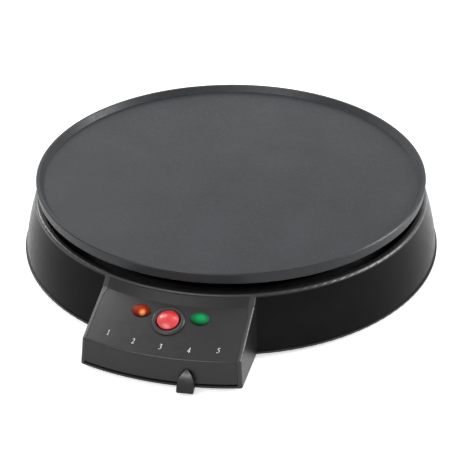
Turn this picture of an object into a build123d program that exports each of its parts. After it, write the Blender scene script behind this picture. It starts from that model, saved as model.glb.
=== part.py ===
from build123d import *
from math import atan2, cos, degrees, hypot, radians, sin, sqrt, tan
import os

# Electric crepe maker: a non-stick hotplate carried above a flared ring housing, with a sloping
# control panel at the front and a temperature lever that swings about the centre of the plate.
# Millimetres. +Z is up, the controls face -Y, and the worktop is at z = 0.
# Everything is drawn about the axis of the plate; only the export moves it, so that the origin
# of the finished object is the middle of its footprint.

# ---------------------------------------------------------------- driving dimensions
# Levels, from the worktop up
foot_height = 3.0               # underside of the cover above the worktop
cover_thickness = 2.0
housing_height = 41.4           # seam with the cover up to the top of the lip
air_gap = 7.2                   # lip up to the lower edge of the plate
deck_drop = 8.4                 # top of the lip down to the deck

# Hotplate
plate_radius = 150.0
plate_skirt_height = 9.0
plate_skirt_draft = 0.6
plate_edge_round = 1.1
plate_dish_depth = 4.5
plate_web = 4.0
rim_land = 1.9
rim_round = 0.8
rim_slope = 3.2
fixing_circle = 62.0            # radius of the circle of plate fixings
fixing_count = 3
fixing_boss_radius = 6.5
fixing_boss_depth = 5.0
centre_boss_radius = 27.0
centre_boss_depth = 4.0

# Heating element, rolled into a groove under the plate
element_circle = 95.0
element_radius = 4.0
element_cover = 0.25            # metal left between the web and the top of the element
element_rib_wall = 2.6
element_open_angle = 14.0       # half of the gap between the two ends
element_bend = 9.0
element_leg = 8.0
shield_margin = 25.0            # rim of the heat shield beyond the element
shield_gap = 4.6                # heat shield above the deck
spade_width = 6.3
spade_thickness = 0.8
spade_length = 8.0

# Ring housing
wall = 2.5
lip_overhang = 1.9              # wall outside the plate's rim at the top
lip_round = 2.2
lip_width = 4.6
wall_flare = 9.5
wall_bulge = 1.0
deck_thickness = 2.5
deck_centre_radius = 21.5
deck_rib_depth = 3.0
deck_rib_thickness = 1.8
deck_rib_count = 12
flange_proud = 0.9              # cover flange beyond the foot of the wall
cover_edge_round = 0.7

# Control box
box_half_width = 54.5           # at the level of the lip
side_draft = 4.2
box_reach = 45.5                # front edge of the panel beyond the top of the wall
front_flare = 2.4
cheek_wall = 2.8
cheek_proud = 0.25              # cheeks above the panel between them
box_edge_round = 1.8            # along the cheeks, down the front corners and across the panel's front
recess_corner = 3.0
upstand_reach = 5.3             # foot of the sloping upstand beyond the top of the wall
panel_drop = 7.0                # lip down to the rear edge of the panel
panel_slope = 21.6
panel_thickness = 2.2
panel_joint = 0.15
lever_slot = 1.6                # cover up to the lower edge of the panel's skirt
window_margin = 0.8             # upstand below the underside of the panel
plinth_inset = 3.6
plinth_height = 1.6
plinth_wall = 2.4
plinth_corner = 5.0

# Button and lamps
button_radius = 7.5
button_dome = 2.3
button_stand = 1.7              # edge of the dome above the panel
button_skirt = 3.0
button_wall = 1.3
button_travel = 2.5
button_gap = 0.4
button_setback = 27.2           # button centre behind the front edge of the panel
bezel_width = 4.0
bezel_height = 1.7
bezel_tube_wall = 1.1
bezel_depth = 6.0
stem_radius = 2.0
stem_reach = 4.0                # end of the stem below the top of the switch
stem_gap = 0.4
switch_size = 18.0
switch_depth = 11.0
lamp_spacing = 21.2             # centre of each lamp to the side of the button
lamp_setback = 31.1
lamp_length = 15.6
lamp_height = 10.0
lamp_dome = 1.2
holder_margin = 1.6
holder_depth = 9.5
neon_radius = 2.7
neon_length = 10.0

# Temperature lever
lever_angle = 6.0               # where it rests, towards +X from the middle of the panel
lever_thickness = 1.0
lever_width = 10.0
lever_gap = 0.3                 # above the cover and below the skirt
lever_flange_height = 4.0
hub_radius = 8.0
hub_height = 10.0
knob_width = 11.8
knob_reach = 8.4                # foot of the knob beyond the skirt
knob_top = 17.4
knob_bottom = 3.9
knob_straight = 3.6             # height of the knob's upright sides
knob_gap = 0.5
knob_round = 1.0
socket_depth = 3.6
spindle_radius = 3.0
running_gap = 0.05

# Thermostat
bracket_length = 49.0
bracket_width = 16.0
bracket_thickness = 1.2
bracket_screw_spacing = 40.0
body_length = 34.0
body_depth = 12.0
bushing_radius = 5.0
bushing_length = 9.0
terminal_spacing = 24.0
blade_length = 30.0
blade_width = 10.0
blade_thickness = 1.0
fuse_radius = 2.0
fuse_length = 11.0
fuse_wire_radius = 0.5
fuse_wire_bend = 0.7            # share of the free wire's straight run
fuse_wire_gap = 0.4             # between a wire of the fuse and the leg of the element
fuse_wire_reach = 8.0           # the free wire turns down this far from the middle
fuse_clip_width = 6.0
fuse_clip_ear = 5.0
sheet = 0.8

# Fasteners, feet and inlet
plate_screw_radius = 2.0
cover_screw_radius = 1.5
small_screw_radius = 1.25
screw_head_ratio = 2.0
screw_head_height = 2.0
screw_clearance = 0.3
boss_wall = 2.6
pillar_hole_depth = 14.0
fascia_hole_depth = 9.0
cover_boss_circle = 147.0
cover_boss_angles = [50, 105, 160, 200, 255, 310]
panel_boss_inset = 4.6          # centre of the panel's bosses inside the cheek
panel_boss_setback = 30.0
foot_radius = 9.0
foot_plug_radius = 4.0
foot_plug_head = 5.2
foot_plug_head_height = 1.5
foot_circle = 132.0
foot_angle = 45.0
vent_count = 28
vent_circle = 98.0
vent_length = 24.0
vent_width = 3.0
cord_radius = 3.6
bush_wall = 2.6
bush_length = 6.0               # thickness of the pad that the bush lines
bush_flange = 2.4
bush_flange_thickness = 1.6
inlet_height = 20.0
inlet_pad_radius = 10.5
clamp_distance = 16.0           # clamp inside the wall at the inlet
clamp_length = 32.0
clamp_width = 8.0
clamp_thickness = 3.0
clamp_screw_spacing = 22.0
block_length = 40.0
block_width = 14.0
block_height = 10.0
block_setback = 36.6            # centre of the block inside the outside of the wall
block_hole_spacing = 12.0
lead_radius = 1.4
lead_hole_radius = 1.9
lead_tightness = 0.45           # share of the shorter run that an arc takes up

# ---------------------------------------------------------------- derived levels and radii
seam_level = foot_height + cover_thickness
lip_level = seam_level + housing_height
deck_top = lip_level - deck_drop
deck_bottom = deck_top - deck_thickness
plate_bottom = lip_level + air_gap
rim_level = plate_bottom + plate_skirt_height
cooking_level = rim_level - plate_dish_depth
web_bottom = cooking_level - plate_web
fixing_boss_bottom = web_bottom - fixing_boss_depth
centre_boss_bottom = web_bottom - centre_boss_depth
element_level = web_bottom - element_cover - element_radius
element_rib_bottom = element_level - element_radius / 2

wall_top_radius = plate_radius + lip_overhang
wall_foot_radius = wall_top_radius + wall_flare
wall_top_level = lip_level - lip_round
lip_inner_radius = wall_top_radius - lip_width
flange_radius = wall_foot_radius + flange_proud

panel_front_radius = wall_top_radius + box_reach
panel_rear_level = lip_level - panel_drop
skirt_bottom = seam_level + lever_slot


def wall_radius(level):
    """Outer radius of the flared ring wall, a shallow arc bulging by wall_bulge."""
    rise = wall_top_level - seam_level
    chord = hypot(rise, wall_flare)
    arc_radius = (chord**2 / 4 + wall_bulge**2) / (2 * wall_bulge)
    inward = arc_radius - wall_bulge
    centre_radius = (wall_top_radius + wall_foot_radius) / 2 - inward * rise / chord
    centre_level = (wall_top_level + seam_level) / 2 - inward * wall_flare / chord
    return centre_radius + sqrt(arc_radius**2 - (level - centre_level) ** 2)


def recess_radius(level):
    """Rear wall of the panel recess: the sloping upstand that leans back to the top of the lip."""
    foot = wall_top_radius + upstand_reach
    crest = wall_top_radius - lip_round
    return foot + (crest - foot) * (level - panel_rear_level) / panel_drop


def panel_level(radius):
    """Height of the sloping panel at a radius from the plate's axis."""
    return panel_rear_level - (radius - recess_radius(panel_rear_level)) * tan(radians(panel_slope))


panel_front_level = panel_level(panel_front_radius)
front_pitch = front_flare / (panel_front_level - skirt_bottom)


def front_radius(level):
    """Outer radius of the front of the control box, flared towards its foot."""
    return panel_front_radius + (panel_front_level - level) * front_pitch


def box_half(level, inset=0.0):
    """Half width of the control box at a height, moved in by an inset."""
    return box_half_width + (lip_level - level) * tan(radians(side_draft)) - inset


lever_bottom = seam_level + lever_gap
lever_top = lever_bottom + lever_thickness
bracket_bottom = centre_boss_bottom - bracket_thickness
body_bottom = bracket_bottom - body_depth
button_circle = panel_front_radius - button_setback
lamp_circle = panel_front_radius - lamp_setback
lamp_angle = degrees(atan2(lamp_spacing, lamp_circle))
block_distance = wall_radius(deck_bottom) - block_setback
block_bottom = deck_bottom - block_height
axis_offset = (front_radius(skirt_bottom) + knob_reach) * cos(radians(lever_angle)) / 2 - flange_radius / 2

BELOW = -20.0                   # cutting solids run past the object
ABOVE = 120.0


# ---------------------------------------------------------------- helpers
def turned(*edges):
    """Solid of revolution about the plate's axis from edges drawn as (radius, height)."""
    return revolve(Plane.XZ * make_face(list(edges)), axis=Axis.Z)


def turned_polygon(*points):
    """Solid of revolution about the plate's axis from a polygon of (radius, height) points."""
    return turned(Polyline(*points, close=True))


def rod(radius, low, high, x=0.0, y=0.0):
    """Upright cylinder between two heights."""
    return Pos(x, y, low) * Cylinder(radius, high - low, align=(Align.CENTER, Align.CENTER, Align.MIN))


def tube(outer, inner, low, high, x=0.0, y=0.0):
    """Upright tube between two heights."""
    return rod(outer, low, high, x, y) - rod(inner, low, high, x, y)


def block(x_size, y_size, low, high, x=0.0, y=0.0):
    """Upright box between two heights."""
    return Pos(x, y, low) * Box(x_size, y_size, high - low, align=(Align.CENTER, Align.CENTER, Align.MIN))


def around(count, radius, start=0.0):
    """Evenly spaced points on a circle about the plate's axis, with their angles."""
    for index in range(count):
        angle = start + 360.0 * index / count
        yield angle, radius * cos(radians(angle)), radius * sin(radians(angle))


def from_front(angle, radius):
    """Point at an angle from the front of the object, positive towards +X."""
    return radius * sin(radians(angle)), -radius * cos(radians(angle))


def group(pieces):
    """Separate solids kept together in one node."""
    return Compound([solid for piece in pieces for solid in piece.solids()])


def pan_screw(radius, length):
    """Screw pointing up from its head: the head's bearing face is at z = 0."""
    head_radius = radius * screw_head_ratio
    head = Pos(0, 0, -screw_head_height / 2) * Cylinder(head_radius, screw_head_height)
    head = fillet(head.edges().sort_by(Axis.Z)[:1], screw_head_height * 0.4)
    shank = rod(radius, 0, length)
    drive = block(head_radius * 1.1, radius * 0.4, -screw_head_height, -screw_head_height / 2)
    return head + shank - drive - Rot(0, 0, 90) * drive


def side_prism(inset, low, high, rear, front):
    """Block between the two drafted sides of the control box, from rear to front along -Y."""
    outline = Polyline(
        (-box_half(low, inset), low),
        (box_half(low, inset), low),
        (box_half(high, inset), high),
        (-box_half(high, inset), high),
        close=True,
    )
    return extrude(Plane.XZ.offset(rear) * make_face(outline), amount=front - rear)


def panel_frame(radius, angle=0.0):
    """Frame on the sloping panel: x runs along it, y up the slope and z out of it."""
    x, y = from_front(angle, radius)
    lean = radians(panel_slope)
    turn = radians(angle)
    outward = (sin(turn) * sin(lean), -cos(turn) * sin(lean), cos(lean))
    return Plane(origin=(x, y, panel_level(radius)), x_dir=(cos(turn), sin(turn), 0), z_dir=outward)


def recess_form(low, gap=0.0):
    """The space between the cheeks in front of the ring wall, with rounded rear corners."""
    high = lip_level + air_gap
    form = side_prism(cheek_wall + gap, low, high, wall_top_radius / 2, ABOVE * 2)
    form -= turned_polygon(
        (0, low),
        (recess_radius(low) + gap, low),
        (recess_radius(high) + gap, high),
        (0, high),
    )
    upright = [
        edge
        for edge in form.edges()
        if edge.bounding_box().size.Z > (high - low) * 0.9 and edge.center().Y > -wall_foot_radius
    ]
    return fillet(upright, recess_corner - gap)


# ---------------------------------------------------------------- hotplate and what is fixed to it
def make_hotplate():
    """Cast plate: dished top, drafted skirt, rib for the element and bosses below."""
    rim_outer = plate_radius
    skirt_foot = plate_radius - plate_skirt_draft
    land_inner = plate_radius - rim_round - rim_land
    dish_radius = land_inner - rim_slope
    plate = turned(
        Line((0, web_bottom), (dish_radius, web_bottom)),
        Line((dish_radius, web_bottom), (dish_radius, plate_bottom)),
        Line((dish_radius, plate_bottom), (skirt_foot - plate_edge_round, plate_bottom)),
        Line((skirt_foot - plate_edge_round, plate_bottom), (skirt_foot, plate_bottom + plate_edge_round)),
        Line((skirt_foot, plate_bottom + plate_edge_round), (rim_outer, rim_level - rim_round)),
        Line((rim_outer, rim_level - rim_round), (rim_outer - rim_round, rim_level)),
        Line((rim_outer - rim_round, rim_level), (land_inner, rim_level)),
        Line((land_inner, rim_level), (dish_radius, cooking_level)),
        Line((dish_radius, cooking_level), (0, cooking_level)),
        Line((0, cooking_level), (0, web_bottom)),
    )
    rib_half = element_radius + element_rib_wall
    plate += turned_polygon(
        (element_circle - rib_half, element_rib_bottom),
        (element_circle + rib_half, element_rib_bottom),
        (element_circle + rib_half, web_bottom),
        (element_circle - rib_half, web_bottom),
    )
    plate += rod(centre_boss_radius, centre_boss_bottom, web_bottom)
    groove = Plane.XZ * Pos(element_circle, element_level) * Circle(element_radius)
    plate -= revolve(groove, axis=Axis.Z)
    open_half = element_circle * sin(radians(element_open_angle + 4))
    plate -= block(2 * open_half, 4 * rib_half, element_rib_bottom - 1, web_bottom, 0, element_circle)
    for angle, x, y in around(fixing_count, fixing_circle, 90):
        plate += rod(fixing_boss_radius, fixing_boss_bottom, web_bottom, x, y)
    for angle, x, y in around(fixing_count, fixing_circle, 90):
        plate -= rod(plate_screw_radius, fixing_boss_bottom, cooking_level - plate_web / 2, x, y)
    for side in (-1, 1):
        x = side * bracket_screw_spacing / 2
        plate -= rod(small_screw_radius, centre_boss_bottom, cooking_level - plate_web / 2, x)
    return plate


def make_heating_element():
    """Tubular element: an open ring whose two ends bend down through the deck."""
    half_gap = radians(element_open_angle)
    drop = Vector(0, 0, -1)
    ends = []
    for side in (-1, 1):
        end = Vector(side * element_circle * sin(half_gap), element_circle * cos(half_gap), element_level)
        along = Vector(-side * cos(half_gap), sin(half_gap), 0)
        corner = end + along * element_bend + drop * element_bend
        middle = end + along * element_bend * sin(radians(45)) + drop * element_bend * (1 - cos(radians(45)))
        ends.append((end, middle, corner, corner + drop * element_leg))
    front = Vector(0, -element_circle, element_level)
    first, last = ends
    path = Wire(
        [
            Edge.make_line(first[3], first[2]),
            Edge.make_three_point_arc(first[2], first[1], first[0]),
            Edge.make_three_point_arc(first[0], front, last[0]),
            Edge.make_three_point_arc(last[0], last[1], last[2]),
            Edge.make_line(last[2], last[3]),
        ]
    )
    section = Plane(origin=first[3], z_dir=(0, 0, 1)) * Circle(element_radius)
    return sweep(section, path=path)


def element_end(side):
    """Foot of one leg of the element: its x, y and height."""
    half_gap = radians(element_open_angle)
    x = side * (element_circle * sin(half_gap) - element_bend * cos(half_gap))
    y = element_circle * cos(half_gap) + element_bend * sin(half_gap)
    return x, y, element_level - element_bend - element_leg


def spade_edge():
    """Front edge of the element's spades, just clear of the legs for the wire of the fuse."""
    return element_end(1)[1] - element_radius - fuse_wire_gap


def make_element_terminals():
    """Flat spades welded to the two ends of the element."""
    spades = []
    for side in (-1, 1):
        x, y, level = element_end(side)
        middle = spade_edge() + spade_width / 2
        spades.append(block(spade_thickness, spade_width, level - spade_length, level, x, middle))
    return group(spades)


shield_level = deck_top + shield_gap
shield_radius = element_circle + element_radius + shield_margin
terminal_opening_width = 2 * (element_end(1)[0] + 2.4 * element_radius)
terminal_opening_depth = 5.0 * element_radius


def make_heat_shield():
    """Pressed reflector pan between the element and the deck, with a turned-up rim."""
    rim_height = web_bottom - 5.0
    pan = turned_polygon(
        (deck_centre_radius + 4, shield_level),
        (shield_radius, shield_level),
        (shield_radius + 2, rim_height),
        (shield_radius + 2 - sheet, rim_height),
        (shield_radius - sheet, shield_level + sheet),
        (deck_centre_radius + 4, shield_level + sheet),
    )
    x, y, level = element_end(1)
    pan -= block(terminal_opening_width, terminal_opening_depth, BELOW, ABOVE, 0, y)
    for angle, x, y in around(fixing_count, fixing_circle, 90):
        pan -= rod(plate_screw_radius + screw_clearance, BELOW, ABOVE, x, y)
    return pan


def make_plate_spacers():
    """Sleeves that hold the plate above the heat shield."""
    return group(
        tube(
            fixing_boss_radius - 2,
            plate_screw_radius + screw_clearance,
            shield_level + sheet,
            fixing_boss_bottom,
            x,
            y,
        )
        for angle, x, y in around(fixing_count, fixing_circle, 90)
    )


def make_plate_screws():
    """Screws up through deck, shield and spacers into the bosses of the plate."""
    length = fixing_boss_bottom + fixing_boss_depth * 0.8 - deck_bottom
    return group(
        Pos(x, y, deck_bottom) * pan_screw(plate_screw_radius, length)
        for angle, x, y in around(fixing_count, fixing_circle, 90)
    )


# ---------------------------------------------------------------- thermostat
def make_thermostat_bracket():
    """Plate that carries the thermostat under the centre of the hotplate."""
    plate = block(bracket_length, bracket_width, bracket_bottom, centre_boss_bottom)
    plate = fillet(plate.edges().filter_by(Axis.Z), 3.0)
    for side in (-1, 1):
        x = side * bracket_screw_spacing / 2
        plate -= rod(small_screw_radius + screw_clearance, BELOW, ABOVE, x)
    return plate - rod(spindle_radius + running_gap, BELOW, ABOVE)


def make_thermostat_body():
    """Ceramic switch block with a bore for the spindle."""
    body = block(body_length, bracket_width, body_bottom, bracket_bottom)
    body = chamfer(body.edges().filter_by(Axis.Z), 1.5)
    return body - rod(spindle_radius + running_gap, BELOW, ABOVE)


def make_thermostat_bushing():
    """Brass guide of the spindle, with a hexagon flange against the body."""
    guide = rod(bushing_radius, body_bottom - bushing_length, body_bottom)
    flange = extrude(Pos(0, 0, body_bottom - 2) * RegularPolygon(bushing_radius + 2, 6), amount=2)
    return guide + flange - rod(spindle_radius + running_gap, BELOW, ABOVE)


def make_thermostat_screws():
    """Two screws that hold the bracket to the plate."""
    return group(
        Pos(side * bracket_screw_spacing / 2, 0, bracket_bottom)
        * pan_screw(small_screw_radius, bracket_thickness + centre_boss_depth * 0.8)
        for side in (-1, 1)
    )


def make_thermostat_terminals():
    """Two spades that hang from the body into the central hole of the deck."""
    return group(
        block(
            spade_thickness,
            spade_width,
            body_bottom - spade_length,
            body_bottom,
            side * terminal_spacing / 2,
        )
        for side in (-1, 1)
    )


def make_bimetal_blade():
    """Bimetal strip that feels the plate's heat, standing out of the body's side."""
    high = bracket_bottom - screw_head_height - 0.5
    blade = block(
        blade_length,
        blade_width,
        high - blade_thickness,
        high,
        (body_length + blade_length) / 2,
    )
    return fillet(blade.edges().filter_by(Axis.Z).group_by(Axis.X)[-1], blade_width / 3)


def fuse_place():
    """Distance of the fuse behind the centre and its height: one wire meets an element spade."""
    return spade_edge() - fuse_wire_radius, web_bottom - fuse_radius, element_end(1)[2]


def make_thermal_fuse():
    """One-shot cut-out lying against the plate, with two wires bent down past the deck."""
    y, level, spade_top = fuse_place()
    bend = (fuse_wire_reach - fuse_length / 2) * fuse_wire_bend
    fuse = Pos(0, y, level) * Rot(0, 90, 0) * Cylinder(fuse_radius, fuse_length)
    for side, reach in ((-1, fuse_wire_reach), (1, element_end(1)[0])):
        start = (side * fuse_length / 2, y, level)
        wire = FilletPolyline(
            start,
            (side * reach, y, level),
            (side * reach, y, spade_top - spade_length / 2),
            radius=bend,
        )
        section = Plane(origin=start, z_dir=(side, 0, 0)) * Circle(fuse_wire_radius)
        fuse += sweep(section, path=wire)
    return fuse


def make_fuse_clip():
    """Strap that holds the fuse up against the plate."""
    outer = fuse_radius + sheet
    strap = Pos(0, -fuse_radius) * Circle(outer) + Pos(0, -sheet / 2) * Rectangle(
        2 * (outer + fuse_clip_ear), sheet
    )
    strap -= Pos(0, -fuse_radius) * Circle(fuse_radius)
    strap -= Pos(0, outer) * Rectangle(4 * outer, 2 * outer)
    strap -= Pos(0, -fuse_radius / 2) * Rectangle(2 * fuse_radius, fuse_radius)
    lying = Plane(
        origin=(-fuse_clip_width / 2, fuse_place()[0], web_bottom), x_dir=(0, 1, 0), z_dir=(1, 0, 0)
    )
    return extrude(lying * strap, amount=fuse_clip_width)


# ---------------------------------------------------------------- housing
def wall_arc(inset, low, high):
    """Arc of the ring wall between two heights, moved in by an inset."""
    middle = (low + high) / 2
    return ThreePointArc(
        (wall_radius(low) - inset, low),
        (wall_radius(middle) - inset, middle),
        (wall_radius(high) - inset, high),
    )


def make_box_block():
    """Outside of the control box: drafted sides, flared front, top following panel and upstand."""
    rear = wall_top_radius - lip_round
    outline = turned_polygon(
        (rear, seam_level),
        (front_radius(seam_level), seam_level),
        (panel_front_radius, panel_front_level + cheek_proud),
        (recess_radius(panel_rear_level), panel_rear_level + cheek_proud),
        (rear, lip_level),
    )
    shell = side_prism(0, seam_level, lip_level + air_gap, rear * 0.8, ABOVE * 2) & outline
    rounded = []
    for edge in shell.edges():
        middle = edge.center()
        along_front = middle.Y < -panel_front_radius * 0.98
        along_side = abs(middle.X) > box_half_width * 0.9 and hypot(middle.X, middle.Y) > wall_top_radius
        if middle.Z > seam_level + 1 and (along_front or along_side):
            rounded.append(edge)
    return fillet(rounded, box_edge_round)


def cover_boss_places():
    """Places of the pillars that the cover is screwed to."""
    return [from_front(angle, cover_boss_circle) for angle in cover_boss_angles]


def make_base_housing():
    """Ring shell with its deck, and the cheeks of the control box moulded on."""
    envelope = turned(
        Line((0, seam_level), (wall_foot_radius, seam_level)),
        wall_arc(0, seam_level, wall_top_level),
        ThreePointArc(
            (wall_top_radius, wall_top_level),
            (
                wall_top_radius - lip_round * (1 - cos(radians(45))),
                wall_top_level + lip_round * sin(radians(45)),
            ),
            (wall_top_radius - lip_round, lip_level),
        ),
        Line((wall_top_radius - lip_round, lip_level), (lip_inner_radius, lip_level)),
        Line((lip_inner_radius, lip_level), (lip_inner_radius, deck_top)),
        Line((lip_inner_radius, deck_top), (0, deck_top)),
        Line((0, deck_top), (0, seam_level)),
    )
    cavity = turned(
        Line((0, seam_level), (wall_foot_radius - wall, seam_level)),
        wall_arc(wall, seam_level, deck_bottom),
        Line((wall_radius(deck_bottom) - wall, deck_bottom), (0, deck_bottom)),
        Line((0, deck_bottom), (0, seam_level)),
    )
    window_top = panel_rear_level - panel_thickness - window_margin
    shell = envelope + (make_box_block() - recess_form(window_top)) - cavity
    shell -= side_prism(cheek_wall, seam_level - 1, window_top, wall_top_radius / 2, ABOVE * 2)
    # ribs under the deck, from the plate fixings out to the wall
    rib_start = fixing_circle + fixing_boss_radius + 2
    rib_length = wall_radius(deck_bottom) - wall / 2 - rib_start
    rib = block(
        rib_length, deck_rib_thickness, deck_bottom - deck_rib_depth, deck_bottom, rib_start + rib_length / 2
    )
    for index in range(deck_rib_count):
        shell += Rot(0, 0, (index + 0.5) * 360 / deck_rib_count) * rib
    # deck: pads for the shield, holes for screws, thermostat and element
    for angle, x, y in around(fixing_count, fixing_circle, 90):
        shell += rod(fixing_boss_radius + 0.5, deck_top, shield_level, x, y)
    for angle, x, y in around(fixing_count, fixing_circle, 90):
        shell -= rod(plate_screw_radius + screw_clearance, BELOW, ABOVE, x, y)
    shell -= rod(deck_centre_radius, BELOW, ABOVE)
    x, y, level = element_end(1)
    shell -= block(
        terminal_opening_width, terminal_opening_depth, deck_bottom - deck_rib_depth, deck_top + 1, 0, y
    )
    # pillars for the cover
    for x, y in cover_boss_places():
        shell += rod(cover_screw_radius + boss_wall, seam_level, deck_bottom, x, y)
    for x, y in cover_boss_places():
        shell -= rod(cover_screw_radius, seam_level - 1, seam_level + pillar_hole_depth, x, y)
    # pad and hole for the mains inlet
    outside = wall_radius(inlet_height)
    shell += inlet_cylinder(inlet_pad_radius, outside - bush_length, outside)
    shell -= inlet_cylinder(inlet_pad_radius, outside, outside + bush_length)
    shell -= inlet_cylinder(cord_radius + bush_wall, outside - 2 * bush_length, outside)
    # posts for the cord clamp
    for side in (-1, 1):
        x = side * clamp_screw_spacing / 2
        y = outside - clamp_distance
        post_bottom = inlet_height + cord_radius
        shell += rod(small_screw_radius + 2.0, post_bottom, deck_bottom, x, y)
        shell -= rod(small_screw_radius, post_bottom - 1, deck_bottom - 2, x, y)
    return shell


def inlet_cylinder(radius, near, far):
    """Cylinder along +Y at the height of the mains inlet."""
    return extrude(Plane.XZ.offset(-near) * Pos(0, inlet_height) * Circle(radius), amount=near - far)


def make_cord_bush():
    """Rubber bush that lines the mains inlet, with a flange outside and one inside."""
    outside = wall_radius(inlet_height)
    inside = outside - bush_length
    bush = inlet_cylinder(cord_radius + bush_wall, inside, outside)
    bush += inlet_cylinder(cord_radius + bush_wall + bush_flange, outside, outside + bush_flange_thickness)
    bush += inlet_cylinder(cord_radius + bush_wall + bush_flange, inside - bush_flange_thickness, inside)
    return bush - inlet_cylinder(cord_radius, inside - 10, outside + 10)


def make_cord_clamp():
    """Saddle screwed up against two posts, with a half-round seat for the cord."""
    y = wall_radius(inlet_height) - clamp_distance
    top = inlet_height + cord_radius
    cradle = cord_radius + clamp_thickness * 0.8
    bar = block(clamp_length, clamp_width, top - clamp_thickness, top, 0, y)
    bar += block(2 * cradle, clamp_width, inlet_height - cradle, top, 0, y)
    bar -= inlet_cylinder(cord_radius, y - clamp_width, y + clamp_width)
    bar -= block(2 * cord_radius, 2 * clamp_width, inlet_height, top + 1, 0, y)
    for side in (-1, 1):
        x = side * clamp_screw_spacing / 2
        bar -= rod(small_screw_radius + screw_clearance, BELOW, ABOVE, x, y)
    return bar


def make_clamp_screws():
    """Two screws of the cord clamp."""
    y = wall_radius(inlet_height) - clamp_distance
    head = inlet_height + cord_radius - clamp_thickness
    return group(
        Pos(side * clamp_screw_spacing / 2, y, head)
        * pan_screw(small_screw_radius, clamp_thickness + 6)
        for side in (-1, 1)
    )


def make_terminal_block():
    """Insulating block on the underside of the deck with three ways for the leads."""
    body = block(block_length, block_width, block_bottom, deck_bottom, 0, block_distance)
    level = (block_bottom + deck_bottom) / 2
    for index in (-1, 0, 1):
        x = index * block_hole_spacing
        body -= Pos(x, block_distance, level) * Rot(90, 0, 0) * Cylinder(lead_hole_radius, 2 * block_width)
        body -= rod(2.2, block_bottom, block_bottom + 3, x, block_distance)
    return body


# ---------------------------------------------------------------- cover
def cover_outline(low, high, inset=0.0):
    """Plan of the cover: the ring's foot and the control box, moved in by an inset."""
    ring = rod(flange_radius - inset, low, high)
    reach = rod(front_radius(seam_level) - inset, low, high)
    box = side_prism(inset, low, high, 0, ABOVE * 2) & reach
    corners = [
        edge
        for edge in box.edges()
        if edge.bounding_box().size.Z > (high - low) * 0.9 and edge.center().Y < -wall_foot_radius
    ]
    return ring, fillet(corners, box_edge_round)


def make_bottom_cover():
    """Flat cover with a flange round the housing, vents, and a plinth under the control box."""
    ring, box = cover_outline(foot_height, seam_level)
    cover = ring + box
    lower_edges = cover.faces().sort_by(Axis.Z)[0].edges()
    cover = fillet(lower_edges, cover_edge_round)
    plinth_bottom = foot_height - plinth_height
    plinth = side_prism(plinth_inset, plinth_bottom, foot_height, 0, ABOVE * 2)
    plinth &= rod(front_radius(seam_level) - plinth_inset, plinth_bottom, foot_height)
    hollow = side_prism(plinth_inset + plinth_wall, plinth_bottom, foot_height, 0, ABOVE * 2)
    hollow &= rod(front_radius(seam_level) - plinth_inset - plinth_wall, plinth_bottom, foot_height)
    plinth -= rod(flange_radius - plinth_inset, plinth_bottom, foot_height)
    front_corners = [
        edge
        for edge in plinth.edges()
        if edge.bounding_box().size.Z > plinth_height * 0.9
        and edge.center().Y < -panel_front_radius * 0.9
    ]
    plinth = chamfer(front_corners, plinth_corner)
    cover += plinth - hollow
    for angle, x, y in around(vent_count, vent_circle, 0):
        slot = SlotOverall(vent_length, vent_width)
        cover -= extrude(Pos(x, y, BELOW) * Rot(0, 0, angle) * slot, amount=ABOVE)
    for x, y in cover_boss_places() + panel_boss_places():
        cover -= rod(cover_screw_radius + screw_clearance, BELOW, ABOVE, x, y)
    for x, y in foot_places():
        cover -= rod(foot_plug_radius, BELOW, ABOVE, x, y)
    return cover


def make_cover_screws():
    """Screws up through the cover into the pillars of the housing."""
    return group(
        Pos(x, y, foot_height) * pan_screw(cover_screw_radius, cover_thickness + pillar_hole_depth - 4)
        for x, y in cover_boss_places()
    )


def make_fascia_screws():
    """Screws up through the cover into the two bosses of the panel."""
    return group(
        Pos(x, y, foot_height) * pan_screw(cover_screw_radius, cover_thickness + fascia_hole_depth - 2)
        for x, y in panel_boss_places()
    )


def foot_places():
    """Places of the four feet, on both sides of the front and the rear."""
    angles = (-foot_angle, foot_angle, 180 - foot_angle, 180 + foot_angle)
    return [from_front(angle, foot_circle) for angle in angles]


def make_rubber_feet():
    """Rubber pads, each with a plug that snaps into the cover."""
    feet = []
    for x, y in foot_places():
        pad = rod(foot_radius, 0, foot_height, x, y)
        pad = fillet(pad.edges().sort_by(Axis.Z)[:1], 0.8)
        plug = rod(foot_plug_radius, foot_height, seam_level, x, y)
        head = rod(foot_plug_head, seam_level, seam_level + foot_plug_head_height, x, y)
        feet.append(pad + plug + head)
    return group(feet)


# ---------------------------------------------------------------- control panel
def panel_boss_places():
    """Places of the two bosses under the panel, beside the cheeks."""
    radius = panel_front_radius - panel_boss_setback
    x = box_half(panel_rear_level, cheek_wall) - panel_boss_inset
    y = -sqrt(radius**2 - x**2)
    return [(-x, y), (x, y)]


def lens_outline(margin=0.0):
    """Eye-shaped outline: two arcs meeting in a point at each end."""
    half = lamp_length / 2 + margin
    rise = lamp_height / 2 + margin
    return make_face(
        [
            ThreePointArc((-half, 0), (0, rise), (half, 0)),
            ThreePointArc((half, 0), (0, -rise), (-half, 0)),
        ]
    )


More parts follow.
